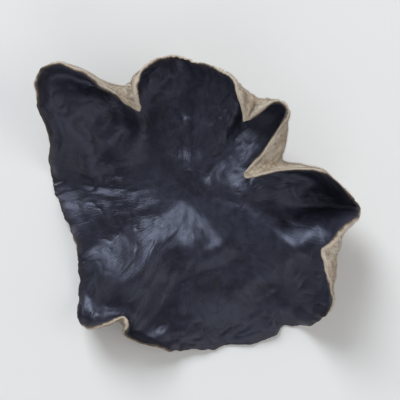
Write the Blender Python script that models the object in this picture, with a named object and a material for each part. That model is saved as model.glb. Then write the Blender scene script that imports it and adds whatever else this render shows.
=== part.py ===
"""A dried wood ear mushroom: one thin, leathery, ear-shaped cap with a dark face and a pale back.

It lies dark face up, on the flat cut where it was taken off the wood and on the lobes that droop.
Run with: blender --background --python part.py
Metres, +Z up. The origin is on the surface that the ear lies on, below the middle of its box.
"""

import math

import bmesh
import bpy
import numpy as np
from mathutils import Vector, noise

MM = 0.001

# The flesh runs out from the base along spokes. Each row is one spoke of the lobed outline:
#   direction in degrees, anticlockwise from +X as seen from above
#   reach in mm, measured along the flesh from the base to the rim
#   slope in degrees over the inner half, and where the rim's curl starts
#   curl in degrees, the turn of the rim: above 0 rolls it up and over the dark face
#   curl width in mm, how much of the reach that turn takes
SPOKES = (
    (-5, 44, 2, -8, 35, 8),
    (-14, 44, 5, 0, 90, 11),
    (-27, 48, 5, 5, 140, 15),
    (-39, 46, 0, -12, 75, 11),
    (-52, 44, -2, -40, 0, 8),
    (-64, 44, 2, -48, -10, 9),
    (-77, 43, 4, -48, -10, 9),
    (-91, 40, 2, -42, 10, 8),
    (-104, 38, -4, -25, 80, 10),
    (-117, 39, 0, -10, 120, 13),
    (-129, 41, 6, -20, 70, 9),
    (-140, 38, 4, -35, 20, 8),
    (-153, 34, 0, -35, 50, 8),
    (-169, 36, -2, -40, 20, 8),
    (-187, 37, -4, -40, 20, 8),
    (-203, 41, 2, -20, 60, 10),
    (-213, 47, 8, 0, 60, 11),
    (-221, 51, 10, 8, 70, 11),
    (-228, 49, 8, 12, 120, 13),
    (-235, 45, 6, 16, 172, 17),
    (-245, 40, 4, 8, 110, 13),
    (-260, 37, 4, -2, 50, 9),
    (-277, 36, 8, 2, 60, 10),
    (-293, 38, 10, 8, 100, 13),
    (-308, 41, 8, 12, 170, 16),
    (-319, 38, 10, 12, 90, 12),
    (-326, 37, 12, 14, 120, 13),
    (-334, 39, 12, 18, 185, 18),
    (-345, 39, 12, 18, 185, 18),
    (-354, 40, 8, 6, 110, 12),
)

# Folds pressed into the flesh. Each row runs straight over the spread-out ear:
#   start direction in degrees and distance in mm, end direction and distance, height in mm, half width in mm
FOLDS = (
    (200, 11, -150, 40, -2.2, 3.0),
    (-40, 10, -112, 40, -2.8, 3.5),
    (-75, 28, -15, 34, 1.8, 3.5),
    (-95, 22, -60, 18, -1.2, 2.5),
    (165, 30, 138, 26, 1.8, 3.5),
    (175, 18, 145, 34, -1.4, 2.6),
    (100, 8, 95, 34, -1.4, 3.0),
    (80, 10, 60, 28, 1.6, 3.0),
)

BASE_AT = (-3.0 * MM, 2.0 * MM)  # the base's centre, from the middle of the outline
BASE_RADIUS = 5.0 * MM  # the flat cut
BASE_FLARE = 5.0 * MM  # from the cut's edge to where the back runs on thin
FACE_HEIGHT = 5.6 * MM  # middle of the flesh above the cut, at the base
DIMPLE_SLOPE = math.radians(20)  # the dimple over the base: its steepest slope
DIMPLE_RADIUS = 6.0 * MM  # and how far from the middle that is
MIDDLE_THICKNESS = 1.9 * MM
RIM_THICKNESS = 0.8 * MM

# Each row is one size of swell in the flesh: height, span, place in the noise
SWELLS = ((6.0 * MM, 24.0 * MM, (5, 17, 9)), (1.6 * MM, 9.0 * MM, (0, 0, 0)))
SWELL_SHARES = (0.5, 0.5, 1.0)  # how much of a swell goes along X, Y and Z
AXIS_STEP = Vector((17.3, 31.7, 5.9))  # from one axis's place in the noise to the next axis's
FRILL = (0.8 * MM, 7.0 * MM)  # height and span of the small waves along the rim
NIBBLE = (1.0 * MM, 7.0 * MM)  # depth and span of the bites in the rim's outline
WANDER = 9.0  # degrees that the spokes stray from a straight run
WANDER_SPAN = 30.0 * MM

CELLS = 48  # quads along each side of the grid that is pulled into the ear
PROFILE_STEPS = 64
BROWN_BLACK = (0.028, 0.026, 0.033, 1.0)


def round_the_ear(direction, column):
    """One column of SPOKES at any direction, on a smooth closed curve through its rows."""
    table = np.array(SPOKES, float)
    table = table[np.argsort(table[:, 0] % 360)]
    angles = table[:, 0] % 360
    values = table[:, column]
    angles = np.concatenate([angles[-2:] - 360, angles, angles[:2] + 360])
    values = np.concatenate([values[-2:], values, values[:2]])
    slopes = np.gradient(values, angles)
    at = direction % 360
    row = np.clip(np.searchsorted(angles, at, side="right") - 1, 0, len(angles) - 2)
    span = angles[row + 1] - angles[row]
    t = (at - angles[row]) / span
    return (
        values[row] * (1 + 2 * t) * (1 - t) ** 2
        + values[row + 1] * (3 - 2 * t) * t**2
        + span * slopes[row] * t * (1 - t) ** 2
        - span * slopes[row + 1] * (1 - t) * t**2
    )


def disc_polar(across, along):
    """Distance from the middle and direction in degrees of a square grid's points, pulled into a disc."""
    share = np.maximum(np.abs(across), np.abs(along))
    wide = np.abs(across) >= np.abs(along)
    safe = np.where(share > 0, share, 1)
    eighth = np.where(wide, along, across) / safe * np.sign(np.where(wide, across, along)) * 45
    sideways = np.where(across >= 0, eighth, 180 + eighth)
    upright = np.where(along >= 0, 90 - eighth, 270 - eighth)
    return share, np.where(wide, sideways, upright)


def spread_out(distance, direction):
    """Where points lie on the ear when it is spread out flat, with the base at the origin."""
    bearing = np.radians(direction)
    return np.stack([distance * np.cos(bearing), distance * np.sin(bearing)], axis=-1)


def flat_noise(points, span):
    """Smooth noise from about -1 to 1 at points of the spread-out ear."""
    values = [noise.noise(Vector((*p, 0)) / span) for p in points.reshape(-1, 2)]
    return np.array(values).reshape(points.shape[:-1])


def reach_of(direction):
    """The spokes' reach in metres, with the small bites in the rim."""
    reach = round_the_ear(direction, 1) * MM
    return reach + NIBBLE[0] * flat_noise(spread_out(reach, direction), NIBBLE[1])


def smooth_step(t):
    """0 to 1 over t from 0 to 1, level at both ends."""
    t = np.clip(t, 0, 1)
    return t * t * (3 - 2 * t)


def laid_out(share, direction):
    """The ear's middle surface: each spoke's profile drawn out from the base and bent as SPOKES says."""
    reach = reach_of(direction)
    inner_slope, outer_slope, curl = (np.radians(round_the_ear(direction, c)) for c in (2, 3, 4))
    curl_start = 1 - round_the_ear(direction, 5) * MM / reach
    out = np.zeros_like(share)
    up = np.zeros_like(share)
    for step in range(PROFILE_STEPS):
        part = share * (step + 0.5) / PROFILE_STEPS
        ring = part * reach / DIMPLE_RADIUS
        slope = DIMPLE_SLOPE * ring * np.exp(1 - ring) + inner_slope * smooth_step(part / 0.35)
        slope += (outer_slope - inner_slope) * np.clip((part - 0.35) / 0.65, 0, 1)
        slope += curl * smooth_step((part - curl_start) / (1 - curl_start))
        out += np.cos(slope) * reach * share / PROFILE_STEPS
        up += np.sin(slope) * reach * share / PROFILE_STEPS
    flat = spread_out(out, direction)
    return np.concatenate([flat + BASE_AT, (FACE_HEIGHT + up)[..., None]], axis=-1)


def fold_heights(flat):
    """How far the folds lift each point of the spread-out ear off its middle surface."""
    lift = np.zeros(flat.shape[:-1])
    for start_deg, start_mm, end_deg, end_mm, height, half_width in FOLDS:
        start = spread_out(np.float64(start_mm * MM), start_deg)
        run = spread_out(np.float64(end_mm * MM), end_deg) - start
        along = np.clip((flat - start) @ run / (run @ run), 0, 1)
        away = np.linalg.norm(flat - start - along[..., None] * run, axis=-1)
        lift += height * MM * np.exp(-((away / (half_width * MM)) ** 2)) * np.sqrt(along)
    return lift


def outward(grid):
    """Unit normals of a grid of points, on its dark side."""
    normal = np.cross(np.gradient(grid, axis=0), np.gradient(grid, axis=1))
    for i, j in ((0, 0), (0, -1), (-1, 0), (-1, -1)):  # at a corner both sides of the grid run along the rim
        normal[i, j] = normal[1 if i == 0 else -2, 1 if j == 0 else -2]
    return normal / np.linalg.norm(normal, axis=-1, keepdims=True)


def crumpled(points):
    """Points carried along by the smooth swells that run through all of the ear, still at the base."""
    moved = points.copy()
    base = Vector((*BASE_AT, FACE_HEIGHT))
    for height, span, start in SWELLS:
        for axis, part in enumerate(SWELL_SHARES):
            place = Vector(start) + axis * AXIS_STEP
            still = noise.noise(base / span + place)
            shifts = [noise.noise(Vector(p) / span + place) - still for p in points.reshape(-1, 3)]
            moved[..., axis] += height * part * np.array(shifts).reshape(points.shape[:-1])
    return moved


def face_and_back(cells):
    """Two grids of points, the dark face and the pale back, resting on z = 0 about the origin."""
    steps = np.linspace(-1, 1, cells + 1)
    share, direction = disc_polar(*np.meshgrid(steps, steps, indexing="ij"))
    flat = spread_out(share * reach_of(direction), direction)
    middle = laid_out(share, direction + WANDER * share * flat_noise(flat, WANDER_SPAN))
    lift = fold_heights(flat) + FRILL[0] * flat_noise(flat, FRILL[1]) * share**5
    middle = middle + outward(middle) * lift[..., None]
    half = (MIDDLE_THICKNESS + (RIM_THICKNESS - MIDDLE_THICKNESS) * np.sqrt(share)) / 2
    depth = outward(middle) * half[..., None]
    face, back = crumpled(middle + depth), crumpled(middle - depth)
    from_base = np.hypot(*np.moveaxis(back[..., :2] - BASE_AT, -1, 0))
    pulled = smooth_step((BASE_RADIUS + BASE_FLARE - from_base) / BASE_FLARE) * (share < 0.5)
    back[..., 2] *= 1 - pulled
    under = np.maximum(-np.minimum(back[..., 2], face[..., 2] - RIM_THICKNESS / 2), 0)
    face[..., 2] += under
    back[..., 2] += under
    corners = np.concatenate([face, back]).reshape(-1, 3)[:, :2]
    centre = (corners.min(axis=0) + corners.max(axis=0)) / 2
    face[..., :2] -= centre
    back[..., :2] -= centre
    return face, back


def flesh():
    """The ear's one material, the colour of its dark face."""
    material = bpy.data.materials.new("ear_flesh")
    material.use_nodes = True
    shader = material.node_tree.nodes["Principled BSDF"]
    shader.inputs["Base Color"].default_value = BROWN_BLACK
    shader.inputs["Roughness"].default_value = 0.5
    return material


def build_ear():
    """The ear as one closed body: two grids, face and back, bridged round the rim."""
    face, back = face_and_back(CELLS)
    bm = bmesh.new()
    bmesh.ops.create_grid(bm, x_segments=CELLS, y_segments=CELLS, size=1)
    copied = bmesh.ops.duplicate(bm, geom=bm.verts[:] + bm.edges[:] + bm.faces[:])
    back_faces = [g for g in copied["geom"] if isinstance(g, bmesh.types.BMFace)]
    back_verts = {g for g in copied["geom"] if isinstance(g, bmesh.types.BMVert)}
    bmesh.ops.reverse_faces(bm, faces=back_faces)
    for v in bm.verts:
        i, j = (round((c + 1) / 2 * CELLS) for c in v.co.xy)
        v.co = Vector((back if v in back_verts else face)[i, j])
    bmesh.ops.bridge_loops(bm, edges=[e for e in bm.edges if e.is_boundary])
    bmesh.ops.triangulate(bm, faces=bm.faces[:])
    mesh = bpy.data.meshes.new("wood_ear")
    bm.to_mesh(mesh)
    bm.free()
    mesh.shade_smooth()
    mesh.materials.append(flesh())
    bpy.context.scene.collection.objects.link(bpy.data.objects.new("wood_ear", mesh))


for old in list(bpy.data.objects):
    bpy.data.objects.remove(old)
build_ear()
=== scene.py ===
"""A dried wood ear mushroom: its leathery two-sided cap and its down, in a plain studio.

The cap is one closed shell with a dark satin face, a pale back, a thin rim and the flat cut where
it was taken off the wood. Its back carries short down. Metres, +Z up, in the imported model's frame.
"""

import logging
import math
from collections.abc import Callable
from dataclasses import dataclass
from enum import Enum, IntEnum
from typing import Any

import bpy
import numpy as np
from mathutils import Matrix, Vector, noise

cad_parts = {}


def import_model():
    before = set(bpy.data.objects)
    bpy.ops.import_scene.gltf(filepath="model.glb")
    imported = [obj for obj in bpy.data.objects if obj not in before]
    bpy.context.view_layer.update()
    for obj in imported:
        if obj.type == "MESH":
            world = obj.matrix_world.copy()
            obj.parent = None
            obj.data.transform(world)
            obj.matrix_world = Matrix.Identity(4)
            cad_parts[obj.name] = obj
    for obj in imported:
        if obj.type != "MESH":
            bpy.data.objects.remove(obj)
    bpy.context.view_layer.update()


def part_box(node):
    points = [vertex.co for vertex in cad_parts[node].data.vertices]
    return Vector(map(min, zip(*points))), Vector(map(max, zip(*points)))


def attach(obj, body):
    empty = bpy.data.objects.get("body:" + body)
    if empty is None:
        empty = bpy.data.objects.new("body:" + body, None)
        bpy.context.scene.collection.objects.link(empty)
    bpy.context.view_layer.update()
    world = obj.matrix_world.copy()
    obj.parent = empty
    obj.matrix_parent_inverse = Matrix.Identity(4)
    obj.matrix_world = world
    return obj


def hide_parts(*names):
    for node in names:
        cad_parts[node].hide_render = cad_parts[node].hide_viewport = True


MM = 0.001
NODE = "wood_ear"
BODY = "root"
LOG = logging.getLogger("wood_ear")

Array = np.ndarray
Colour = tuple[float, float, float, float]


class Slot(Enum):
    """Names for two material slots."""

    FACE = "dark_face"
    BACK = "pale_back"


class Side(IntEnum):
    """The finishes on the cap's shell, in the order of its mesh's materials."""

    FACE = 0
    BACK = 1
    RIM = 2
    CUT = 3


# ------------------------------------------------------------------------------
# Shader expressions


def arithmetic(operation: str, swapped: bool = False) -> Callable[["Signal", Any], "Signal"]:
    """Make one of a Signal's arithmetic methods.

    Args:
        operation: the Math node's operation.
        swapped: whether the other value comes first.

    Returns:
        The method.
    """

    def method(self: "Signal", other: Any) -> "Signal":
        """Work the operation out between self and another value.

        Args:
            other: a number or a signal.

        Returns:
            The result.
        """
        return self.run(operation, *((other, self) if swapped else (self, other)))

    return method


@dataclass(frozen=True)
class Signal:
    """A node's output that Python's arithmetic works on.

    Attributes:
        graph: the graph that the socket's node is in.
        socket: the output socket.
    """

    graph: "Graph"
    socket: bpy.types.NodeSocket

    def run(self, operation: str, *values: Any, clamp: bool = False) -> "Signal":
        """Run a Math node.

        Args:
            operation: the Math node's operation.
            values: its inputs, numbers or signals.
            clamp: whether the result is held between 0 and 1.

        Returns:
            The result.
        """
        settings = {"operation": operation, "use_clamp": clamp}
        return self.graph.node("ShaderNodeMath", settings, dict(enumerate(values)))

    __add__ = __radd__ = arithmetic("ADD")
    __mul__ = __rmul__ = arithmetic("MULTIPLY")
    __sub__, __rsub__ = arithmetic("SUBTRACT"), arithmetic("SUBTRACT", swapped=True)
    __truediv__, __rtruediv__ = arithmetic("DIVIDE"), arithmetic("DIVIDE", swapped=True)

    def __abs__(self) -> "Signal":
        """Drop the sign.

        Returns:
            Self without its sign.
        """
        return self.run("ABSOLUTE", self)

    def held(self) -> "Signal":
        """Hold the values in range.

        Returns:
            Self held between 0 and 1.
        """
        return self.run("ADD", self, 0.0, clamp=True)

    def rise(self, low: float, high: float) -> "Signal":
        """Turn self into a soft mask.

        Args:
            low: where the mask starts to rise from 0.
            high: where it reaches 1.

        Returns:
            The mask.
        """
        sockets = {"Value": self, "From Min": low, "From Max": high}
        settings = {"interpolation_type": "SMOOTHSTEP"}
        return self.graph.node("ShaderNodeMapRange", settings, sockets)

    def sister(self, name: str) -> "Signal":
        """Another output of the same node.

        Args:
            name: the output's name.

        Returns:
            That output.
        """
        return Signal(self.graph, self.socket.node.outputs[name])


class Graph:
    """The nodes of one tree."""

    def __init__(self, tree: bpy.types.NodeTree) -> None:
        """Start with no nodes.

        Args:
            tree: the tree that the nodes go in.
        """
        self.tree = tree
        tree.nodes.clear()

    def node(
        self, kind: str, settings: dict[str, Any], sockets: dict[Any, Any], out: Any = 0
    ) -> Signal:
        """Add a node.

        Args:
            kind: the node's type.
            settings: its properties, set before its sockets.
            sockets: values or signals, by the input socket's name or index.
            out: the output socket's name or index.

        Returns:
            The output.
        """
        node = self.tree.nodes.new(kind)
        for name, value in settings.items():
            setattr(node, name, value)
        for name, value in sockets.items():
            if isinstance(value, Signal):
                self.tree.links.new(value.socket, node.inputs[name])
            else:
                node.inputs[name].default_value = value
        return Signal(self, node.outputs[out])

    def close(self, last: Signal, kind: str, socket: str = "Surface") -> None:
        """Join the last signal to the tree's output node.

        Args:
            last: the signal.
            kind: the output node's type.
            socket: the input that takes it.
        """
        self.tree.links.new(last.socket, self.tree.nodes.new(kind).inputs[socket])

    def noise(self, at: Signal, scale: float, detail: float = 3.0, rough: float = 0.55) -> Signal:
        """Smooth noise.

        Args:
            at: the coordinates.
            scale: how many lumps there are to a unit of them.
            detail: how many finer sizes are laid over the first.
            rough: how strong those are.

        Returns:
            The noise, from 0 to 1 with most of it near 0.5.
        """
        sockets = {"Vector": at, "Scale": scale, "Detail": detail, "Roughness": rough}
        return self.node("ShaderNodeTexNoise", {}, sockets)

    def blend(self, share: Any, first: Any, second: Any) -> Signal:
        """Mix two colours.

        Args:
            share: how much of the second, from 0 to 1.
            first: a colour or a signal.
            second: a colour or a signal.

        Returns:
            The mixed colour.
        """
        return self.node("ShaderNodeMix", {"data_type": "RGBA"}, {0: share, 6: first, 7: second}, 2)


class Finish(Graph):
    """The nodes of one material."""

    def __init__(self, name: str) -> None:
        """Start a material.

        Args:
            name: the material's name.
        """
        self.material = bpy.data.materials.new(name)
        self.material.use_nodes = True
        super().__init__(self.material.node_tree)

    def attribute(self, name: str, out: str = "Vector") -> Signal:
        """Read one of the mesh's own attributes.

        Args:
            name: the attribute's name.
            out: "Vector", or "Fac" for a number.

        Returns:
            The attribute.
        """
        return self.node("ShaderNodeAttribute", {"attribute_name": name}, {}, out)

    def place(self) -> Signal:
        """Find the point's place on the piece.

        Returns:
            The place, in metres.
        """
        return self.node("ShaderNodeTexCoord", {}, {}, "Object")

    def bump(self, height: Signal, depth: float) -> Signal:
        """Turn a height into a bumped normal.

        Args:
            height: the height, from 0 to 1.
            depth: how many metres a height of 1 stands up.

        Returns:
            The normal.
        """
        sockets = {"Height": height, "Distance": depth, "Strength": 1.0}
        return self.node("ShaderNodeBump", {}, sockets)

    def done(self, **sockets: Any) -> bpy.types.Material:
        """Close the material with a Principled shader.

        Args:
            sockets: its inputs, with _ for each space in their names.

        Returns:
            The material.
        """
        named = {name.replace("_", " "): value for name, value in sockets.items()}
        self.close(self.node("ShaderNodeBsdfPrincipled", {}, named), "ShaderNodeOutputMaterial")
        return self.material


# ------------------------------------------------------------------------------
# Finishes


@dataclass(frozen=True)
class DarkSkin:
    """The cap's dark face: brown-black satin skin under a thin bluish bloom, with fine wrinkles.

    Its blotches, mottles and grits are noise lumps in a mm. Its streaks set in over fan, and its
    painted light, a brown glow of light shining through the thin rim, over the last field; both as
    shares of the way out.
    """

    # deep: its darkest mottling, and the painted shade in its creases and valleys.
    deep: Colour = (0.0050, 0.0046, 0.0075, 1.0)
    body: Colour = (0.0108, 0.0102, 0.0172, 1.0)
    bloom: Colour = (0.034, 0.037, 0.060, 1.0)
    brown: Colour = (0.026, 0.016, 0.013, 1.0)
    sheen: float = 0.12
    wrinkle_depth: float = 0.13 * MM
    blotches: float = 0.07
    mottles: float = 0.42
    grits: float = 5.0
    fan: tuple[float, float] = (0.08, 0.55)
    lit_through_rim: tuple[float, float] = (0.93, 1.0)

    def material(self) -> bpy.types.Material:
        """Build the skin's nodes.

        Returns:
            The material.
        """
        g = Finish("dark_skin")
        spread, grain = g.attribute("spread"), g.attribute("grain")
        share, valley = g.attribute("share", "Fac"), g.attribute("valley", "Fac")
        blotch = g.noise(spread, self.blotches, 2.0)
        mottle = g.noise(spread, self.mottles, 5.0, 0.62)
        grit = g.noise(spread, self.grits, 2.0)
        fan = share.rise(*self.fan)
        streak = g.noise(grain, 1.0, 4.0, 0.6) * fan
        line = g.noise(grain, 1.3, 3.0, 0.5) + mottle * 0.15 - 0.575
        crease = (1 - abs(line).rise(0.0, 0.05)) * fan
        powder = blotch.rise(0.40, 0.66) * 0.55 + mottle.rise(0.42, 0.70) * 0.45
        # Less bloom in the valleys: painted shade.
        powder = (powder * (1 - valley * 0.7) * (0.55 + grit * 0.9)).held()
        colour = g.blend(mottle.rise(0.30, 0.65), self.deep, self.body)
        colour = g.blend(powder * 0.42, colour, self.bloom)
        colour = g.blend(streak.rise(0.5, 0.75) * 0.5 * (1 - powder), colour, self.brown)
        # Painted light: browner towards the rim, as light shining through the thin flesh.
        colour = g.blend(share.rise(*self.lit_through_rim) * 0.5, colour, self.brown)
        # Painted shade: darker along the bumped creases and in the valleys.
        colour = g.blend((crease * 0.25 + valley * 0.45).held(), colour, self.deep)
        height = streak * 0.7 + mottle * 0.8 + grit * 0.12 - crease * 0.22
        return g.done(
            Base_Color=colour,
            Roughness=(0.33 + mottle * 0.12 + powder * 0.14).held(),
            Specular_IOR_Level=0.5,
            Specular_Tint=(0.71, 0.76, 1.0, 1.0),
            Sheen_Weight=self.sheen,
            Sheen_Roughness=0.45,
            Sheen_Tint=(0.62, 0.72, 1.0, 1.0),
            Normal=g.bump(height, self.wrinkle_depth),
        )


@dataclass(frozen=True)
class FeltSkin:
    """The skin under and between the down: matt tan felt with brown streaks and spots, and with
    painted shade in its creases.

    Its patches and spots are noise lumps in a mm, its fibres and fluffs lumps in a metre.
    """

    tan: Colour = (0.46, 0.37, 0.27, 1.0)
    grey: Colour = (0.58, 0.52, 0.43, 1.0)
    # crease: the brown of its streaks, spots and fluffs, and of the painted shade in its valleys.
    crease: Colour = (0.17, 0.115, 0.078, 1.0)
    fibre_depth: float = 0.14 * MM
    patches: float = 0.16
    spots: float = 0.55
    fibres: float = 4200.0
    fluffs: float = 1500.0

    def material(self) -> bpy.types.Material:
        """Build the felt's nodes.

        Returns:
            The material.
        """
        g = Finish("felt_skin")
        spread, grain = g.attribute("spread"), g.attribute("grain")
        valley = g.attribute("valley", "Fac")
        patch = g.noise(spread, self.patches, 3.0)
        spots = g.noise(spread, self.spots, 4.0, 0.62)
        streak = g.noise(grain, 1.6, 4.0, 0.6)
        fibre = g.noise(g.place(), self.fibres, 2.0, 0.7)
        fluff = g.noise(g.place(), self.fluffs, 3.0, 0.6)
        colour = g.blend(patch.rise(0.38, 0.64), self.tan, self.grey)
        # Painted shade in the valleys, with the felt's own brown streaks and spots.
        shade_and_streaks = valley * 0.6 + streak.rise(0.50, 0.76) * 0.4 + spots.rise(0.50, 0.72) * 0.45
        colour = g.blend(shade_and_streaks.held(), colour, self.crease)
        colour = g.blend(fluff.rise(0.46, 0.70) * 0.4, colour, self.crease)
        return g.done(
            Base_Color=colour,
            Roughness=0.95,
            Specular_IOR_Level=0.2,
            Sheen_Weight=0.3,
            Sheen_Roughness=0.6,
            Normal=g.bump(fibre * 0.6 + fluff + streak * 0.8, self.fibre_depth),
        )


@dataclass(frozen=True)
class RimSkin:
    """The rim, where the dark skin turns over into the pale back.

    Where the colour turns changes with its stretches and rags, which are noise lumps in a mm. Its
    fibres are lumps in a metre.
    """

    dark: Colour = (0.016, 0.013, 0.014, 1.0)
    brown: Colour = (0.085, 0.056, 0.040, 1.0)
    pale: Colour = (0.44, 0.37, 0.29, 1.0)
    fibre_depth: float = 0.12 * MM
    stretches: float = 0.11
    rags: float = 1.1
    fibres: float = 3200.0

    def material(self) -> bpy.types.Material:
        """Build the rim's nodes.

        Returns:
            The material.
        """
        g = Finish("rim_skin")
        spread = g.attribute("spread")
        stretch = g.noise(spread, self.stretches, 2.0) - 0.5
        ragged = g.noise(spread, self.rags, 4.0, 0.6) - 0.5
        turn = g.attribute("turn", "Fac") + stretch * 1.1 + ragged * 0.8 + 0.10
        colour = g.blend(turn.rise(0.15, 0.50), self.dark, self.brown)
        colour = g.blend(turn.rise(0.40, 0.80), colour, self.pale)
        fibre = g.noise(g.place(), self.fibres, 3.0, 0.65)
        rough = turn.rise(0.1, 0.7) * 0.35 + 0.55
        return g.done(Base_Color=colour, Roughness=rough, Normal=g.bump(fibre, self.fibre_depth))


@dataclass(frozen=True)
class CutFlesh:
    """The dry flesh of the flat cut, with fine fibres and darker stains.

    Its fibres and stains are noise lumps in a metre.
    """

    flesh: Colour = (0.30, 0.20, 0.125, 1.0)
    dark: Colour = (0.10, 0.058, 0.036, 1.0)
    fibre_depth: float = 0.12 * MM
    fibres: float = 2600.0
    stains: float = 420.0

    def material(self) -> bpy.types.Material:
        """Build the cut's nodes.

        Returns:
            The material.
        """
        g = Finish("cut_flesh")
        fibre = g.noise(g.place(), self.fibres, 4.0, 0.7)
        patch = g.noise(g.place(), self.stains, 3.0)
        stain = fibre.rise(0.35, 0.75) * 0.5 + patch.rise(0.4, 0.7) * 0.5
        colour = g.blend(stain.held(), self.flesh, self.dark)
        normal = g.bump(fibre + patch, self.fibre_depth)
        return g.done(Base_Color=colour, Roughness=0.9, Normal=normal)


@dataclass(frozen=True)
class DownHair:
    """The down: fine dry hairs, browner where they root.

    Their duller patches and clumps are noise lumps in a metre.
    """

    root: Colour = (0.30, 0.23, 0.16, 1.0)
    tip: Colour = (0.70, 0.64, 0.55, 1.0)
    brown: Colour = (0.40, 0.30, 0.21, 1.0)
    patches: float = 210.0
    clumps: float = 900.0

    def material(self) -> bpy.types.Material:
        """Build the hairs' nodes.

        Returns:
            The material.
        """
        g = Finish("down_hair")
        along, tone = g.attribute("along", "Fac"), g.attribute("tone", "Fac")
        patch = g.noise(g.place(), self.patches, 3.0)
        clump = g.noise(g.place(), self.clumps, 3.0, 0.6)
        dull = tone * 0.35 + patch.rise(0.42, 0.68) * 0.5 + clump.rise(0.45, 0.65) * 0.45
        tip = g.blend(dull.held(), self.tip, self.brown)
        return g.done(
            Base_Color=g.blend(along.rise(-0.1, 0.8), self.root, tip),
            Roughness=0.8,
            Specular_IOR_Level=0.3,
        )


@dataclass(frozen=True)
class FloorPaint:
    """The studio floor's plain matt paint."""

    colour: Colour = (0.72, 0.715, 0.70, 1.0)

    def material(self) -> bpy.types.Material:
        """Build the paint's nodes.

        Returns:
            The material.
        """
        g = Finish("floor_paint")
        return g.done(Base_Color=self.colour, Roughness=0.9, Specular_IOR_Level=0.2)


# ------------------------------------------------------------------------------
# The cap's form


@dataclass(frozen=True)
class Spoke:
    """One line along which the flesh runs out from the base to the rim.

    Attributes:
        direction: degrees, anticlockwise from +X as seen from above.
        reach: mm along the flesh, from the base to the rim.
        inner_slope: degrees, over the inner half.
        outer_slope: degrees, where the rim's curl starts.
        curl: degrees that the rim turns: above 0 rolls it up and over the dark face.
        curl_width: mm of the reach that the curl takes.
    """

    direction: float
    reach: float
    inner_slope: float
    outer_slope: float
    curl: float
    curl_width: float


@dataclass(frozen=True)
class Fold:
    """A fold that runs straight over the spread-out ear.

    Attributes:
        start: where it starts, degrees and mm from the base.
        end: where it ends, degrees and mm from the base.
        height: mm, above 0 on the dark side.
        half_width: mm.
    """

    start: tuple[float, float]
    end: tuple[float, float]
    height: float
    half_width: float


@dataclass(frozen=True)
class Swell:
    """Smooth swells through all of the ear.

    Attributes:
        height: metres.
        span: metres from one to the next.
        start: their place in the noise.
    """

    height: float
    span: float
    start: tuple[float, float, float]


SPOKES = tuple(
    Spoke(*row)
    for row in (
        (-5, 44, 2, -8, 35, 8),
        (-14, 44, 5, 0, 90, 11),
        (-27, 48, 5, 5, 140, 15),
        (-39, 46, 0, -12, 75, 11),
        (-52, 44, -2, -40, 0, 8),
        (-64, 44, 2, -48, -10, 9),
        (-77, 43, 4, -48, -10, 9),
        (-91, 40, 2, -42, 10, 8),
        (-104, 38, -4, -25, 80, 10),
        (-117, 39, 0, -10, 120, 13),
        (-129, 41, 6, -20, 70, 9),
        (-140, 38, 4, -35, 20, 8),
        (-153, 34, 0, -35, 50, 8),
        (-169, 36, -2, -40, 20, 8),
        (-187, 37, -4, -40, 20, 8),
        (-203, 41, 2, -20, 60, 10),
        (-213, 47, 8, 0, 60, 11),
        (-221, 51, 10, 8, 70, 11),
        (-228, 49, 8, 12, 120, 13),
        (-235, 45, 6, 16, 172, 17),
        (-245, 40, 4, 8, 110, 13),
        (-260, 37, 4, -2, 50, 9),
        (-277, 36, 8, 2, 60, 10),
        (-293, 38, 10, 8, 100, 13),
        (-308, 41, 8, 12, 170, 16),
        (-319, 38, 10, 12, 90, 12),
        (-326, 37, 12, 14, 120, 13),
        (-334, 39, 12, 18, 185, 18),
        (-345, 39, 12, 18, 185, 18),
        (-354, 40, 8, 6, 110, 12),
    )
)

FOLDS = (
    Fold((200, 11), (-150, 40), -2.2, 3.0),
    Fold((-40, 10), (-112, 40), -2.8, 3.5),
    Fold((-75, 28), (-15, 34), 1.8, 3.5),
    Fold((-95, 22), (-60, 18), -1.2, 2.5),
    Fold((165, 30), (138, 26), 1.8, 3.5),
    Fold((175, 18), (145, 34), -1.4, 2.6),
    Fold((100, 8), (95, 34), -1.4, 3.0),
    Fold((80, 10), (60, 28), 1.6, 3.0),
)

SWELLS = (
    Swell(6.0 * MM, 24.0 * MM, (5, 17, 9)),
    Swell(1.6 * MM, 9.0 * MM, (0, 0, 0)),
)


def smooth_step(t: Array) -> Array:
    """Ease from 0 to 1.

    Args:
        t: how far on each value is, from 0 to 1.

    Returns:
        0 to 1 over t from 0 to 1, level at both ends.
    """
    t = np.clip(t, 0, 1)
    return t * t * (3 - 2 * t)


def noise_at(points: Array, span: float, start: tuple[float, ...] = (0.0, 0.0, 0.0)) -> Array:
    """Smooth noise, the same in every run.

    Args:
        points: an array of points of 2 or 3 coordinates.
        span: the distance from one lump to the next.
        start: the place in the noise.

    Returns:
        Values from about -1 to 1, one for each point.
    """
    rows = points.reshape(-1, points.shape[-1])
    if rows.shape[1] == 2:
        rows = np.column_stack([rows, np.zeros(len(rows))])
    rows = rows / span + np.array(start)
    return np.array([noise.noise(row) for row in rows.tolist()]).reshape(points.shape[:-1])


def spread_out(distance: Array, direction: Array) -> Array:
    """Points of the spread-out ear, with the base at the origin.

    Args:
        distance: metres from the base.
        direction: degrees.

    Returns:
        The points, of 2 coordinates.
    """
    bearing = np.radians(direction)
    return np.stack([distance * np.cos(bearing), distance * np.sin(bearing)], axis=-1)


@dataclass
class Plan:
    """The cap spread out flat: a square grid that is pulled into a disc.

    Attributes:
        share: how far out each grid point is, from 0 at the base to 1 at the rim.
        direction: its direction in degrees.
        flat: its place on the spread-out ear, in metres.
    """

    share: Array
    direction: Array
    flat: Array


@dataclass
class Sheet(Plan):
    """The cap's two sides on that grid.

    Attributes:
        face: points of the dark face.
        back: points of the pale back.
    """

    face: Array
    back: Array


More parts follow.
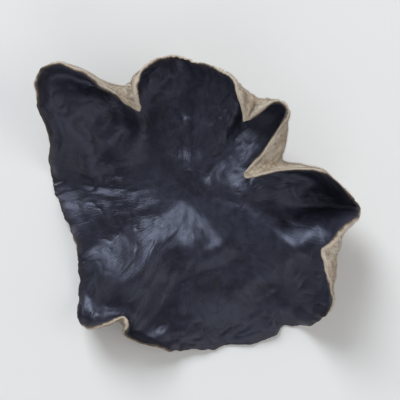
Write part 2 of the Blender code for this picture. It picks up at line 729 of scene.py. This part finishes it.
@dataclass
class EarForm:
    """The cap's shape, by the rule that its CAD solid follows.

    Attributes:
        spokes, folds, swells: the tables above.
        swell_shares: the shares of a swell's height that go to X, Y and Z.
        axis_step: how far apart in the noise those three are.
        base_at: the base's middle, before the cap is centred.
        base_radius: the radius of the flat cut.
        base_flare: metres past it over which the back comes down to the cut.
        face_height: the face's height over the cut.
        dimple_slope: how steep the dimple over the base is.
        dimple_radius: the dimple's radius.
        inner_share: how far out the inner slope is full, and the outer one sets in.
        middle_thickness, rim_thickness: the flesh's thickness.
        frill, nibble: height and span of the rim's waves and of the bites in it.
        wander, wander_span: degrees and metres over which the spokes stray.
        profile_steps: steps in which a spoke's profile is drawn.
        plan_cells: quads along each side of the CAD solid's grid.
    """

    spokes: tuple[Spoke, ...] = SPOKES
    folds: tuple[Fold, ...] = FOLDS
    swells: tuple[Swell, ...] = SWELLS
    swell_shares: tuple[float, ...] = (0.5, 0.5, 1.0)
    axis_step: tuple[float, ...] = (17.3, 31.7, 5.9)
    base_at: tuple[float, float] = (-3.0 * MM, 2.0 * MM)
    base_radius: float = 5.0 * MM
    base_flare: float = 5.0 * MM
    face_height: float = 5.6 * MM
    dimple_slope: float = math.radians(20)
    dimple_radius: float = 6.0 * MM
    inner_share: float = 0.35
    middle_thickness: float = 1.9 * MM
    rim_thickness: float = 0.8 * MM
    frill: tuple[float, float] = (0.8 * MM, 7.0 * MM)
    nibble: tuple[float, float] = (1.0 * MM, 7.0 * MM)
    wander: float = 9.0
    wander_span: float = 30.0 * MM
    profile_steps: int = 64
    plan_cells: int = 48

    def round_the_ear(self, direction: Array, column: str) -> Array:
        """One field of the spokes at any direction, on a smooth closed curve.

        Args:
            direction: degrees.
            column: the field's name.

        Returns:
            Its values.
        """
        rows = sorted(self.spokes, key=lambda spoke: spoke.direction % 360)
        angles = np.array([spoke.direction % 360 for spoke in rows], float)
        values = np.array([getattr(spoke, column) for spoke in rows], float)
        angles = np.concatenate([angles[-2:] - 360, angles, angles[:2] + 360])
        values = np.concatenate([values[-2:], values, values[:2]])
        slopes = np.gradient(values, angles)
        at = direction % 360
        row = np.clip(np.searchsorted(angles, at, side="right") - 1, 0, len(angles) - 2)
        span = angles[row + 1] - angles[row]
        t = (at - angles[row]) / span
        return (
            values[row] * (1 + 2 * t) * (1 - t) ** 2
            + values[row + 1] * (3 - 2 * t) * t**2
            + span * slopes[row] * t * (1 - t) ** 2
            - span * slopes[row + 1] * (1 - t) * t**2
        )

    @staticmethod
    def disc_polar(cells: int) -> tuple[Array, Array]:
        """Pull a square grid into a disc.

        Args:
            cells: quads along each side.

        Returns:
            Each point's share of the way out, and its direction in degrees.
        """
        steps = np.linspace(-1, 1, cells + 1)
        across, along = np.meshgrid(steps, steps, indexing="ij")
        share = np.maximum(np.abs(across), np.abs(along))
        wide = np.abs(across) >= np.abs(along)
        safe = np.where(share > 0, share, 1)
        eighth = np.where(wide, along, across) / safe * np.sign(np.where(wide, across, along)) * 45
        sideways = np.where(across >= 0, eighth, 180 + eighth)
        upright = np.where(along >= 0, 90 - eighth, 270 - eighth)
        return share, np.where(wide, sideways, upright)

    def reach_of(self, direction: Array) -> Array:
        """Measure the flesh from the base to the rim, with the small bites in the rim.

        Args:
            direction: degrees.

        Returns:
            The reach in metres.
        """
        reach = self.round_the_ear(direction, "reach") * MM
        return reach + self.nibble[0] * noise_at(spread_out(reach, direction), self.nibble[1])

    def laid_out(self, share: Array, direction: Array) -> Array:
        """The cap's middle surface, each spoke's profile drawn out from the base.

        Args:
            share: how far out each point is.
            direction: its direction in degrees.

        Returns:
            The points.
        """
        reach = self.reach_of(direction)
        columns = ("inner_slope", "outer_slope", "curl")
        angles = [np.radians(self.round_the_ear(direction, column)) for column in columns]
        inner_slope, outer_slope, curl = angles
        curl_start = 1 - self.round_the_ear(direction, "curl_width") * MM / reach
        out = np.zeros_like(share)
        up = np.zeros_like(share)
        for step in range(self.profile_steps):
            part = share * (step + 0.5) / self.profile_steps
            ring = part * reach / self.dimple_radius
            slope = self.dimple_slope * ring * np.exp(1 - ring)
            slope += inner_slope * smooth_step(part / self.inner_share)
            outer = np.clip((part - self.inner_share) / (1 - self.inner_share), 0, 1)
            slope += (outer_slope - inner_slope) * outer
            slope += curl * smooth_step((part - curl_start) / (1 - curl_start))
            out += np.cos(slope) * reach * share / self.profile_steps
            up += np.sin(slope) * reach * share / self.profile_steps
        flat = spread_out(out, direction)
        return np.concatenate([flat + self.base_at, (self.face_height + up)[..., None]], axis=-1)

    def fold_heights(self, flat: Array) -> Array:
        """Raise the folds.

        Args:
            flat: points of the spread-out ear.

        Returns:
            How far each is lifted off the middle surface, in metres.
        """
        lift = np.zeros(flat.shape[:-1])
        for fold in self.folds:
            start = spread_out(np.float64(fold.start[1] * MM), fold.start[0])
            run = spread_out(np.float64(fold.end[1] * MM), fold.end[0]) - start
            along = np.clip((flat - start) @ run / (run @ run), 0, 1)
            away = np.linalg.norm(flat - start - along[..., None] * run, axis=-1)
            hump = np.exp(-((away / (fold.half_width * MM)) ** 2))
            lift += fold.height * MM * hump * np.sqrt(along)
        return lift

    @staticmethod
    def outward(grid: Array) -> Array:
        """Find the directions square to a surface.

        Args:
            grid: its points.

        Returns:
            Unit normals on its dark side.
        """
        normal = np.cross(np.gradient(grid, axis=0), np.gradient(grid, axis=1))
        for i, j in ((0, 0), (0, -1), (-1, 0), (-1, -1)):
            normal[i, j] = normal[1 if i == 0 else -2, 1 if j == 0 else -2]
        return normal / np.linalg.norm(normal, axis=-1, keepdims=True)

    def crumpled(self, points: Array) -> Array:
        """Carry points along with the swells, which are still at the base.

        Args:
            points: the points.

        Returns:
            The moved points.
        """
        moved = points.copy()
        base = np.array([[*self.base_at, self.face_height]])
        for swell in self.swells:
            for axis, part in enumerate(self.swell_shares):
                place = tuple(s + axis * a for s, a in zip(swell.start, self.axis_step))
                shifts = noise_at(points, swell.span, place) - noise_at(base, swell.span, place)
                moved[..., axis] += swell.height * part * shifts
        return moved

    def rested(self, face: Array, back: Array, share: Array) -> None:
        """Cut the base off flat and lay the cap on the ground, in place.

        Args:
            face: points of the dark face.
            back: points of the pale back.
            share: how far out each point is.
        """
        from_base = np.hypot(*np.moveaxis(back[..., :2] - self.base_at, -1, 0))
        near = (self.base_radius + self.base_flare - from_base) / self.base_flare
        back[..., 2] *= 1 - smooth_step(near) * (share < 0.5)
        under = np.maximum(-np.minimum(back[..., 2], face[..., 2] - self.rim_thickness / 2), 0)
        face[..., 2] += under
        back[..., 2] += under

    def rough_sheet(self, cells: int, detail: "Wrinkles | None" = None) -> Sheet:
        """The cap's two sides before they are centred.

        Args:
            cells: quads along each side of the grid.
            detail: the fine wrinkles, or None for the bare form.

        Returns:
            The sheet.
        """
        share, direction = self.disc_polar(cells)
        reach = self.reach_of(direction)
        flat = spread_out(share * reach, direction)
        plan = Plan(share, direction, flat)
        strayed = direction + self.wander * share * noise_at(flat, self.wander_span)
        lift = self.fold_heights(flat) + self.frill[0] * noise_at(flat, self.frill[1]) * share**5
        frayed = share
        if detail:
            lift = lift + detail.crinkles(plan)
            frayed = share + detail.fraying(plan) / reach
        middle = self.laid_out(frayed, strayed)
        middle = middle + self.outward(middle) * lift[..., None]
        thinning = (self.rim_thickness - self.middle_thickness) * np.sqrt(share)
        half = (self.middle_thickness + thinning) / 2
        normal = self.outward(middle)
        over, under = detail.heights(plan) if detail else (0.0, 0.0)
        face = self.crumpled(middle + normal * (half + over)[..., None])
        back = self.crumpled(middle - normal * (half + under)[..., None])
        self.rested(face, back, share)
        return Sheet(share, direction, flat, face, back)

    def sheet(self, cells: int, detail: "Wrinkles") -> Sheet:
        """The cap's two sides, centred as the CAD solid is.

        Args:
            cells: quads along each side of the grid.
            detail: the fine wrinkles.

        Returns:
            The sheet.
        """
        coarse = self.rough_sheet(self.plan_cells)
        corners = np.concatenate([coarse.face, coarse.back]).reshape(-1, 3)[:, :2]
        centre = (corners.min(axis=0) + corners.max(axis=0)) / 2
        fine = self.rough_sheet(cells, detail)
        fine.face[..., :2] -= centre
        fine.back[..., :2] -= centre
        return fine


@dataclass
class Wrinkles:
    """The fine wrinkles of both sides. Heights and spans are in metres.

    Attributes:
        furrow, furrow_count, furrow_span: shallow furrows along the spokes of the face.
        vein, vein_count, vein_span: its thin creases, which branch out from the base.
        vein_width: a crease's half width, in noise units.
        pucker, pucker_span: its small puckers.
        rib, rib_count, rib_span: ribs along the spokes of the back.
        felt, felt_spans: small lumps of the back.
        crinkle, crinkle_spans: crinkles of both sides together, small ones and broad ones.
        fray, fray_spans: how ragged the rim is.
        stray, stray_span: degrees by which the furrows and ribs bend aside.
        calm_span: how far apart the smoother parts are.
        lined: how far out the ribs are full, as a share.
        inner, outer: shares of the way out where the face's lines set in and are full.
    """

    furrow: float = 0.38 * MM
    furrow_count: float = 5.5
    furrow_span: float = 22 * MM
    vein: float = 0.17 * MM
    vein_count: float = 3.6
    vein_span: float = 11 * MM
    vein_width: float = 0.10
    pucker: float = 0.15 * MM
    pucker_span: float = 2.3 * MM
    rib: float = 0.60 * MM
    rib_count: float = 7.0
    rib_span: float = 16 * MM
    felt: float = 0.18 * MM
    felt_spans: tuple[float, float] = (1.9 * MM, 4.2 * MM)
    crinkle: float = 0.38 * MM
    crinkle_spans: tuple[float, float] = (2.8 * MM, 5.0 * MM)
    fray: float = 0.42 * MM
    fray_spans: tuple[float, float] = (2.1 * MM, 1.0 * MM)
    stray: float = 16
    stray_span: float = 13 * MM
    calm_span: float = 15 * MM
    lined: float = 0.35
    inner: float = 0.12
    outer: float = 0.62

    def crinkles(self, plan: Plan) -> Array:
        """Crinkle both sides together.

        Args:
            plan: the spread-out ear.

        Returns:
            The lift in metres.
        """
        small = noise_at(plan.flat, self.crinkle_spans[0], (1, 7, 0)) * plan.share**6
        broad = noise_at(plan.flat, self.crinkle_spans[1], (8, 1, 0))
        broad = broad * smooth_step(plan.share / 0.5)
        return self.crinkle * (small + 0.6 * broad)

    def fraying(self, plan: Plan) -> Array:
        """Make the rim ragged.

        Args:
            plan: the spread-out ear.

        Returns:
            How far it runs out past the smooth rim, in metres.
        """
        ragged = noise_at(plan.flat, self.fray_spans[0], (4, 4, 0))
        ragged = ragged + 0.6 * noise_at(plan.flat, self.fray_spans[1], (7, 3, 0))
        return self.fray * ragged * plan.share**12

    @staticmethod
    def spoke_noise(
        direction: Array, flat: Array, count: float, span: float, start: float
    ) -> Array:
        """Noise that is drawn out along the spokes.

        Args:
            direction: degrees.
            flat: points of the spread-out ear.
            count: how finely it changes from spoke to spoke.
            span: metres along a spoke over which it changes.
            start: its place in the noise.

        Returns:
            Values from about -1 to 1.
        """
        ring = spread_out(np.full(direction.shape, count), direction)
        along = np.linalg.norm(flat, axis=-1, keepdims=True) / span
        return noise_at(np.concatenate([ring, along], axis=-1), 1.0, (start, start, start))

    def heights(self, plan: Plan) -> tuple[Array, Array]:
        """Raise the wrinkles of each side.

        Args:
            plan: the spread-out ear.

        Returns:
            The face's height and the back's, in metres.
        """
        share, flat = plan.share, plan.flat
        bent = plan.direction + self.stray * noise_at(flat, self.stray_span, (3, 0, 0))
        calm = smooth_step((noise_at(flat, self.calm_span, (9, 2, 0)) + 0.35) / 0.6)
        lines = smooth_step((share - self.inner) / (self.outer - self.inner))
        furrow = self.spoke_noise(bent, flat, self.furrow_count, self.furrow_span, 1.5) * lines
        ridge = self.spoke_noise(bent, flat, self.vein_count, self.vein_span, 4.5)
        ridge = ridge + 0.45 * noise_at(flat, 3.0 * MM, (0, 8, 0))
        vein = np.exp(-((ridge / self.vein_width) ** 2)) * (0.3 + calm) * lines
        pucker = noise_at(flat, self.pucker_span, (5, 5, 0)) * (0.35 + calm)
        over = self.furrow * furrow - self.vein * vein + self.pucker * pucker
        rib = 1 - 2.6 * np.abs(self.spoke_noise(bent, flat, self.rib_count, self.rib_span, 7.5))
        felt = noise_at(flat, self.felt_spans[0], (2, 6, 0))
        felt = felt + 0.6 * noise_at(flat, self.felt_spans[1], (6, 2, 0))
        under = self.rib * rib * smooth_step(share / self.lined) * 0.5 + self.felt * felt
        return over, under


# ------------------------------------------------------------------------------
# Pieces


def new_piece(name: str, mesh: bpy.types.Mesh) -> bpy.types.Object:
    """Put a mesh in the scene.

    Args:
        name: the piece's name.
        mesh: its mesh.

    Returns:
        The new object.
    """
    piece = bpy.data.objects.new(name, mesh)
    bpy.context.scene.collection.objects.link(piece)
    return piece


def report(piece: bpy.types.Object) -> None:
    """Log a piece's size and number of triangles.

    Args:
        piece: the piece.
    """
    mesh = piece.data
    corners = np.array([v.co for v in mesh.vertices]) / MM
    triangles = sum(len(face.vertices) - 2 for face in mesh.polygons)
    low, high = corners.min(axis=0).round(2), corners.max(axis=0).round(2)
    LOG.info("%s: %d triangles, from %s to %s mm", piece.name, triangles, low, high)


@dataclass
class WoodEar:
    """The cap: one closed shell of face, back, rounded rim and flat cut.

    Attributes:
        form: its shape.
        wrinkles: its wrinkles.
        cells: quads along each side of the grid.
        rim_rings: rings of points round the rim.
        cut_share: how far out the flat cut can be.
        level: how near the ground a point of the cut is, in metres.
        grain_count: how finely the grain changes from spoke to spoke.
        grain_span: mm along a spoke over which it changes.
        back_shift: mm between the face's and the back's places in the noise.
        valley_depth: how deep a valley is where its painted shade is full, in metres.
    """

    form: EarForm
    wrinkles: Wrinkles
    cells: int = 210
    rim_rings: int = 5
    cut_share: float = 0.4
    level: float = 1e-7
    grain_count: float = 9.0
    grain_span: float = 11.0
    back_shift: float = 40.0
    valley_depth: float = 0.25 * MM

    def __post_init__(self) -> None:
        """Lay the sheet out."""
        self.sheet = self.form.sheet(self.cells, self.wrinkles)

    def rim_loop(self) -> Array:
        """Walk all the way round the rim, anticlockwise as seen on the face.

        Returns:
            The grid indices on the way.
        """
        run = np.arange(self.cells)
        start, end = 0 * run, 0 * run + self.cells
        sides = [(run, start), (end, run), (self.cells - run, end), (start, self.cells - run)]
        return np.concatenate([np.stack(side, axis=1) for side in sides])

    def rim_points(self) -> Array:
        """Round the rim.

        Returns:
            Its points, ring by ring from the face to the back.
        """
        i, j = self.rim_loop().T
        inner = np.clip(np.stack([i, j]), 1, self.cells - 1)
        top, bottom = self.sheet.face[i, j], self.sheet.back[i, j]
        middle = (top + bottom) / 2
        inside = (self.sheet.face[inner[0], inner[1]] + self.sheet.back[inner[0], inner[1]]) / 2
        up = (top - bottom) / 2
        half = np.linalg.norm(up, axis=1, keepdims=True)
        out = middle - inside
        out -= up * (np.sum(out * up, axis=1, keepdims=True) / half**2)
        out *= half / np.linalg.norm(out, axis=1, keepdims=True)
        turns = np.linspace(0, math.pi, self.rim_rings + 2)[1:-1]
        return np.stack([middle + math.cos(a) * up + math.sin(a) * out for a in turns])

    def grid_quads(self) -> Array:
        """List the face's quads.

        Returns:
            Each one's vertex numbers.
        """
        index = np.arange((self.cells + 1) ** 2).reshape(self.cells + 1, -1)
        corners = (index[:-1, :-1], index[1:, :-1], index[1:, 1:], index[:-1, 1:])
        return np.stack(corners, axis=-1).reshape(-1, 4)

    def quads(self) -> tuple[Array, Array]:
        """List the shell's quads.

        Returns:
            Each one's vertex numbers, and each one's Side.
        """
        row = self.cells + 1
        side = row * row
        grid = self.grid_quads()
        loop = self.rim_loop() @ np.array([row, 1])
        rings = [loop]
        for ring in range(self.rim_rings):
            rings.append(2 * side + ring * len(loop) + np.arange(len(loop)))
        rings.append(loop + side)
        strips = []
        for above, below in zip(rings, rings[1:]):
            strips.append(np.stack([np.roll(above, -1), above, below, np.roll(below, -1)], axis=1))
        rim = np.concatenate(strips)
        cut = (self.sheet.back[..., 2].ravel()[grid] < self.level).all(axis=1)
        cut &= (self.sheet.share.ravel()[grid] < self.cut_share).all(axis=1)
        sides = [
            np.full(len(grid), Side.FACE),
            np.where(cut, Side.CUT, Side.BACK),
            np.full(len(rim), Side.RIM),
        ]
        return np.concatenate([grid, grid[:, ::-1] + side, rim]), np.concatenate(sides)

    def on_shell(self, grid: Array, back: Array | None = None) -> Array:
        """Carry a grid's values over to the shell's vertices.

        Args:
            grid: the values on the face's grid.
            back: the values on the back's grid, or None where they are the same.

        Returns:
            The values for all vertices.
        """
        i, j = self.rim_loop().T
        back = grid if back is None else back
        rim = np.concatenate([back[i, j]] * self.rim_rings)
        flat = [g.reshape(len(g) ** 2, -1) for g in (grid, back)]
        return np.concatenate([*flat, rim.reshape(len(rim), -1)])

    def mark(self, mesh: bpy.types.Mesh) -> None:
        """Write what the finishes read: place, grain, share, shaded valleys and the rim's turn.

        Args:
            mesh: the shell's mesh.
        """
        sheet = self.sheet
        flat = sheet.flat / MM
        far = np.linalg.norm(flat, axis=-1, keepdims=True)
        spread = np.concatenate([flat, np.zeros_like(far)], axis=-1)
        ring = spread_out(np.full(sheet.direction.shape, self.grain_count), sheet.direction)
        over, under = self.wrinkles.heights(sheet)
        vectors = {
            "spread": self.on_shell(spread, spread + (0, 0, self.back_shift)),
            "grain": self.on_shell(np.concatenate([ring, far / self.grain_span], axis=-1)),
        }
        # Valleys: where both skins paint shade.
        valleys = [smooth_step(-side / self.valley_depth) for side in (over, under)]
        rings = np.arange(1, self.rim_rings + 1) / (self.rim_rings + 1)
        turn = [np.zeros(sheet.share.size), np.ones(sheet.share.size)]
        turn.append(np.repeat(rings, 4 * self.cells))
        numbers = {
            "turn": np.concatenate(turn),
            "share": self.on_shell(sheet.share),
            "valley": self.on_shell(*valleys),
        }
        for name, values in vectors.items():
            column = mesh.attributes.new(name, "FLOAT_VECTOR", "POINT")
            column.data.foreach_set("vector", values.ravel())
        for name, values in numbers.items():
            column = mesh.attributes.new(name, "FLOAT", "POINT")
            column.data.foreach_set("value", values.ravel())

    def build(self) -> bpy.types.Object:
        """Build the shell and dress it.

        Returns:
            The piece.
        """
        grids = (self.sheet.face, self.sheet.back, self.rim_points())
        points = np.concatenate([grid.reshape(-1, 3) for grid in grids])
        points[:, 2] = np.maximum(points[:, 2], 0)
        quads, sides = self.quads()
        mesh = bpy.data.meshes.new("ear_cap")
        mesh.from_pydata(points.tolist(), [], quads.tolist())
        mesh.polygons.foreach_set("material_index", sides.astype(np.int32))
        self.mark(mesh)
        mesh.shade_smooth()
        mesh.update()
        for finish in (DarkSkin(), FeltSkin(), RimSkin(), CutFlesh()):
            mesh.materials.append(finish.material())
        return new_piece("ear_cap", mesh)


@dataclass
class BackDown:
    """The down on the cap's back, grown by Geometry Nodes in a few lots.

    Attributes:
        ear: the cap.
        lots: how many pieces the down is grown in.
        per_square_mm: hairs of one lot.
        length: a hair's length, in metres.
        radius: its radius at the root, in metres.
        lean: the most that it leans off square, in radians.
        bend: how far its tip is bent aside, as a share of its length.
        sides: its sides.
        segments: its segments from root to tip.
        shortest: the shortest hair's share of the length.
        longest: the longest hair's.
        bare: metres above the ground below which no hair grows.
        fade: metres over which the down thickens from there.
        scale_seed, tone_seed: what the hairs' sizes and tones add to a lot's seed.
    """

    ear: WoodEar
    lots: int = 6
    per_square_mm: float = 2.7
    length: float = 0.58 * MM
    radius: float = 0.036 * MM
    lean: float = math.radians(38)
    bend: float = 0.35
    sides: int = 3
    segments: int = 2
    shortest: float = 0.55
    longest: float = 1.15
    bare: float = 0.35 * MM
    fade: float = 0.8 * MM
    scale_seed: float = 11.0
    tone_seed: float = 23.0

    def bed(self) -> bpy.types.Mesh:
        """Lay out the surface that the down grows on.

        Returns:
            The back's mesh, with how thick the down is there.
        """
        back = self.ear.sheet.back
        mesh = bpy.data.meshes.new("down_bed")
        quads = self.ear.grid_quads()[:, ::-1]
        mesh.from_pydata(back.reshape(-1, 3).tolist(), [], quads.tolist())
        thick = smooth_step((back[..., 2] - self.bare) / self.fade)
        mesh.attributes.new("down", "FLOAT", "POINT").data.foreach_set("value", thick.ravel())
        mesh.shade_smooth()
        return mesh

    @staticmethod
    def marked(geometry: Signal, domain: str, name: str, value: Signal) -> Signal:
        """Store a number on a geometry.

        Args:
            geometry: the geometry.
            domain: what each number is for.
            name: the attribute's name.
            value: the number.

        Returns:
            The marked geometry.
        """
        settings = {"data_type": "FLOAT", "domain": domain}
        sockets = {"Geometry": geometry, "Name": name, "Value": value}
        return geometry.graph.node("GeometryNodeStoreNamedAttribute", settings, sockets)

    @staticmethod
    def draw(seed: Signal, low: float, high: float) -> Signal:
        """A random number for each hair.

        Args:
            seed: the seed.
            low: the lowest number.
            high: the highest number.

        Returns:
            The numbers.
        """
        sockets = {2: low, 3: high, "Seed": seed}
        return seed.graph.node("FunctionNodeRandomValue", {"data_type": "FLOAT"}, sockets, 1)

    def hair(self, g: Graph, given: Signal) -> Signal:
        """One hair: a thin cone, bent to one side.

        Args:
            g: the graph.
            given: the group's inputs.

        Returns:
            Its mesh.
        """
        length = given.sister("Length")
        sizes = {"Vertices": self.sides, "Side Segments": self.segments, "Depth": length}
        sizes["Radius Bottom"] = given.sister("Radius")
        cone = g.node("GeometryNodeMeshCone", {"fill_type": "NGON"}, sizes, "Mesh")
        place = g.node("GeometryNodeInputPosition", {}, {})
        along = g.node("ShaderNodeSeparateXYZ", {}, {0: place}, "Z") / length
        aside = along * along * given.sister("Bend") * length
        offset = g.node("ShaderNodeCombineXYZ", {}, {"X": aside})
        marked = self.marked(cone, "POINT", "along", along)
        bent = g.node("GeometryNodeSetPosition", {}, {"Geometry": marked, "Offset": offset})
        return g.node("GeometryNodeSetShadeSmooth", {}, {"Geometry": bent})

    @staticmethod
    def stance(g: Graph, given: Signal, points: Signal) -> Signal:
        """How each hair stands: off the back, leaning its own way.

        Args:
            g: the graph.
            given: the group's inputs.
            points: where the hairs root.

        Returns:
            Their rotations.
        """
        lean = given.sister("Lean")
        other = lean * -1.0
        low = g.node("ShaderNodeCombineXYZ", {}, {"X": other, "Y": other, "Z": -math.pi})
        high = g.node("ShaderNodeCombineXYZ", {}, {"X": lean, "Y": lean, "Z": math.pi})
        limits = {"Min": low, "Max": high, "Seed": given.sister("Seed")}
        angles = g.node("FunctionNodeRandomValue", {"data_type": "FLOAT_VECTOR"}, limits)
        turn = g.node("FunctionNodeEulerToRotation", {}, {0: angles})
        sockets = {"Rotation": points.sister("Rotation"), "Rotate By": turn}
        return g.node("FunctionNodeRotateRotation", {"rotation_space": "LOCAL"}, sockets)

    def tree(self, skin: bpy.types.Material) -> bpy.types.NodeTree:
        """The node tree that grows one lot.

        Args:
            skin: the hairs' material.

        Returns:
            The tree, with its sizes as named inputs.
        """
        tree = bpy.data.node_groups.new("grow_down", "GeometryNodeTree")
        kinds = {"Bed": "Geometry", "Seed": "Int"}
        kinds |= dict.fromkeys(("Density", "Length", "Radius", "Lean", "Bend"), "Float")
        for name, kind in kinds.items():
            tree.interface.new_socket(name, in_out="INPUT", socket_type=f"NodeSocket{kind}")
        tree.interface.new_socket("Down", in_out="OUTPUT", socket_type="NodeSocketGeometry")
        g = Graph(tree)
        given = g.node("NodeGroupInput", {}, {})
        seed = given.sister("Seed")
        down = g.node("GeometryNodeInputNamedAttribute", {"data_type": "FLOAT"}, {"Name": "down"})
        sown = {"Mesh": given, "Density": given.sister("Density") * down, "Seed": seed}
        way = {"distribute_method": "RANDOM"}
        points = g.node("GeometryNodeDistributePointsOnFaces", way, sown)
        planted = {
            "Points": points,
            "Instance": self.hair(g, given),
            "Rotation": self.stance(g, given, points),
            "Scale": self.draw(seed + self.scale_seed, self.shortest, self.longest),
        }
        hairs = g.node("GeometryNodeInstanceOnPoints", {}, planted)
        tone = self.draw(seed + self.tone_seed, 0.0, 1.0)
        toned = self.marked(hairs, "INSTANCE", "tone", tone)
        real = g.node("GeometryNodeRealizeInstances", {}, {"Geometry": toned})
        dressed = g.node("GeometryNodeSetMaterial", {}, {"Geometry": real, "Material": skin})
        g.close(dressed, "NodeGroupOutput", "Down")
        return tree

    def build(self) -> list[bpy.types.Object]:
        """Grow every lot.

        Returns:
            The pieces.
        """
        tree = self.tree(DownHair().material())
        inputs = [item for item in tree.interface.items_tree if item.in_out == "INPUT"]
        sockets = {item.name: item.identifier for item in inputs}
        sizes = {
            "Density": self.per_square_mm / MM**2,
            "Length": self.length,
            "Radius": self.radius,
            "Lean": self.lean,
            "Bend": self.bend,
        }
        bed = new_piece("down_bed", self.bed())
        pieces = []
        for lot in range(self.lots):
            grower = bed.modifiers.new("grow", "NODES")
            grower.node_group = tree
            for name, value in (sizes | {"Seed": lot + 1}).items():
                grower[sockets[name]] = value
            graph = bpy.context.evaluated_depsgraph_get()
            mesh = bpy.data.meshes.new_from_object(bed.evaluated_get(graph))
            mesh.name = f"back_down_{lot + 1}"
            bed.modifiers.remove(grower)
            pieces.append(new_piece(mesh.name, mesh))
        bpy.data.objects.remove(bed)
        return pieces


# ------------------------------------------------------------------------------
# Studio


@dataclass(frozen=True)
class SoftBox:
    """A square soft light that looks at the ear.

    Attributes:
        place: where it stands, in metres.
        size: its side, in metres.
        watts: its power.
        colour: its colour.
    """

    place: tuple[float, float, float]
    size: float
    watts: float
    colour: tuple[float, float, float]


@dataclass
class Studio:
    """The floor, the soft lights and the camera.

    Attributes:
        target: the ear's middle, in metres.
        radius: half the ear's width, in metres.
        floor_side: the floor's side, in metres.
        floor_gap: how far below the ear it lies, in metres.
        azimuth, elevation: where the camera looks from, in degrees.
        lens: the camera's lens, in mm.
        near: metres in front of the camera from which it sees.
        fill: the share of the frame that the ear fills.
        zenith, horizon: the room's light above and at floor level.
        zenith_from: how high up the zenith's light starts.
        boxes: the soft boxes.
    """

    target: Vector
    radius: float
    floor_side: float = 40.0
    floor_gap: float = 0.05 * MM
    azimuth: float = 0.0
    elevation: float = 83.0
    lens: float = 85.0
    near: float = 0.01
    fill: float = 0.80
    zenith: Colour = (0.30, 0.305, 0.32, 1.0)
    horizon: Colour = (0.72, 0.725, 0.73, 1.0)
    zenith_from: float = 0.6
    boxes: tuple[SoftBox, ...] = (
        SoftBox((-0.60, 1.20, 1.10), 0.84, 28.0, (0.90, 0.95, 1.0)),
        SoftBox((1.14, -0.30, 0.90), 1.05, 6.0, (1.0, 0.97, 0.93)),
        SoftBox((0.15, -1.20, 0.75), 0.90, 4.0, (0.95, 0.97, 1.0)),
    )

    def lay_floor(self) -> None:
        """Lay the floor under the ear."""
        side = self.floor_side / 2
        plan = ((-side, -side), (side, -side), (side, side), (-side, side))
        corners = [(x, y, -self.floor_gap) for x, y in plan]
        mesh = bpy.data.meshes.new("floor")
        mesh.from_pydata(corners, [], [(0, 1, 2, 3)])
        mesh.materials.append(FloorPaint().material())
        new_piece("floor", mesh)

    def light_sky(self) -> None:
        """Light the room, brighter towards the horizon, where it meets the floor."""
        world = bpy.data.worlds.new("studio")
        world.use_nodes = True
        g = Graph(world.node_tree)
        ray = g.node("ShaderNodeTexCoord", {}, {}, "Generated")
        up = g.node("ShaderNodeSeparateXYZ", {}, {"Vector": ray}, "Z")
        colour = g.blend(up.rise(0.0, self.zenith_from), self.horizon, self.zenith)
        g.close(g.node("ShaderNodeBackground", {}, {"Color": colour}), "ShaderNodeOutputWorld")
        bpy.context.scene.world = world

    def hang_lights(self) -> None:
        """Hang the soft boxes."""
        for number, box in enumerate(self.boxes):
            light = bpy.data.lights.new(f"soft_box_{number + 1}", "AREA")
            light.size, light.energy, light.color = box.size, box.watts, box.colour
            lamp = bpy.data.objects.new(light.name, light)
            lamp.location = box.place
            aim = Vector(box.place) - self.target
            lamp.rotation_euler = aim.to_track_quat("Z", "Y").to_euler()
            bpy.context.scene.collection.objects.link(lamp)

    def set_camera(self) -> None:
        """Stand the camera so that the ear fills most of the frame."""
        camera = bpy.data.cameras.new("camera")
        camera.lens = self.lens
        camera.clip_start = self.near
        around, up = math.radians(self.azimuth), math.radians(self.elevation)
        level = math.cos(up)
        back = Vector((math.sin(around) * level, -math.cos(around) * level, math.sin(up)))
        half_view = math.atan(camera.sensor_width / 2 / camera.lens)
        eye = bpy.data.objects.new("camera", camera)
        eye.location = self.target + back * (self.radius / self.fill / math.tan(half_view))
        eye.rotation_euler = back.to_track_quat("Z", "Y").to_euler()
        bpy.context.scene.collection.objects.link(eye)
        bpy.context.scene.camera = eye

    def build(self) -> None:
        """Set the studio up."""
        bpy.context.scene.view_settings.view_transform = "Standard"
        self.lay_floor()
        self.light_sky()
        self.hang_lights()
        self.set_camera()


def main() -> None:
    """Build the ear round its CAD solid, then the studio."""
    logging.basicConfig(level=logging.INFO, format="%(message)s")
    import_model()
    low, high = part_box(NODE)
    ear = WoodEar(EarForm(), Wrinkles())
    cap = ear.build()
    report(cap)
    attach(cap, BODY)
    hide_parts(NODE)
    for lot in BackDown(ear).build():
        report(lot)
        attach(lot, BODY)
    LOG.info("CAD solid from %s to %s", low, high)
    Studio(target=(low + high) / 2, radius=max(high.x - low.x, high.y - low.y) / 2).build()


if __name__ == "__main__":
    main()
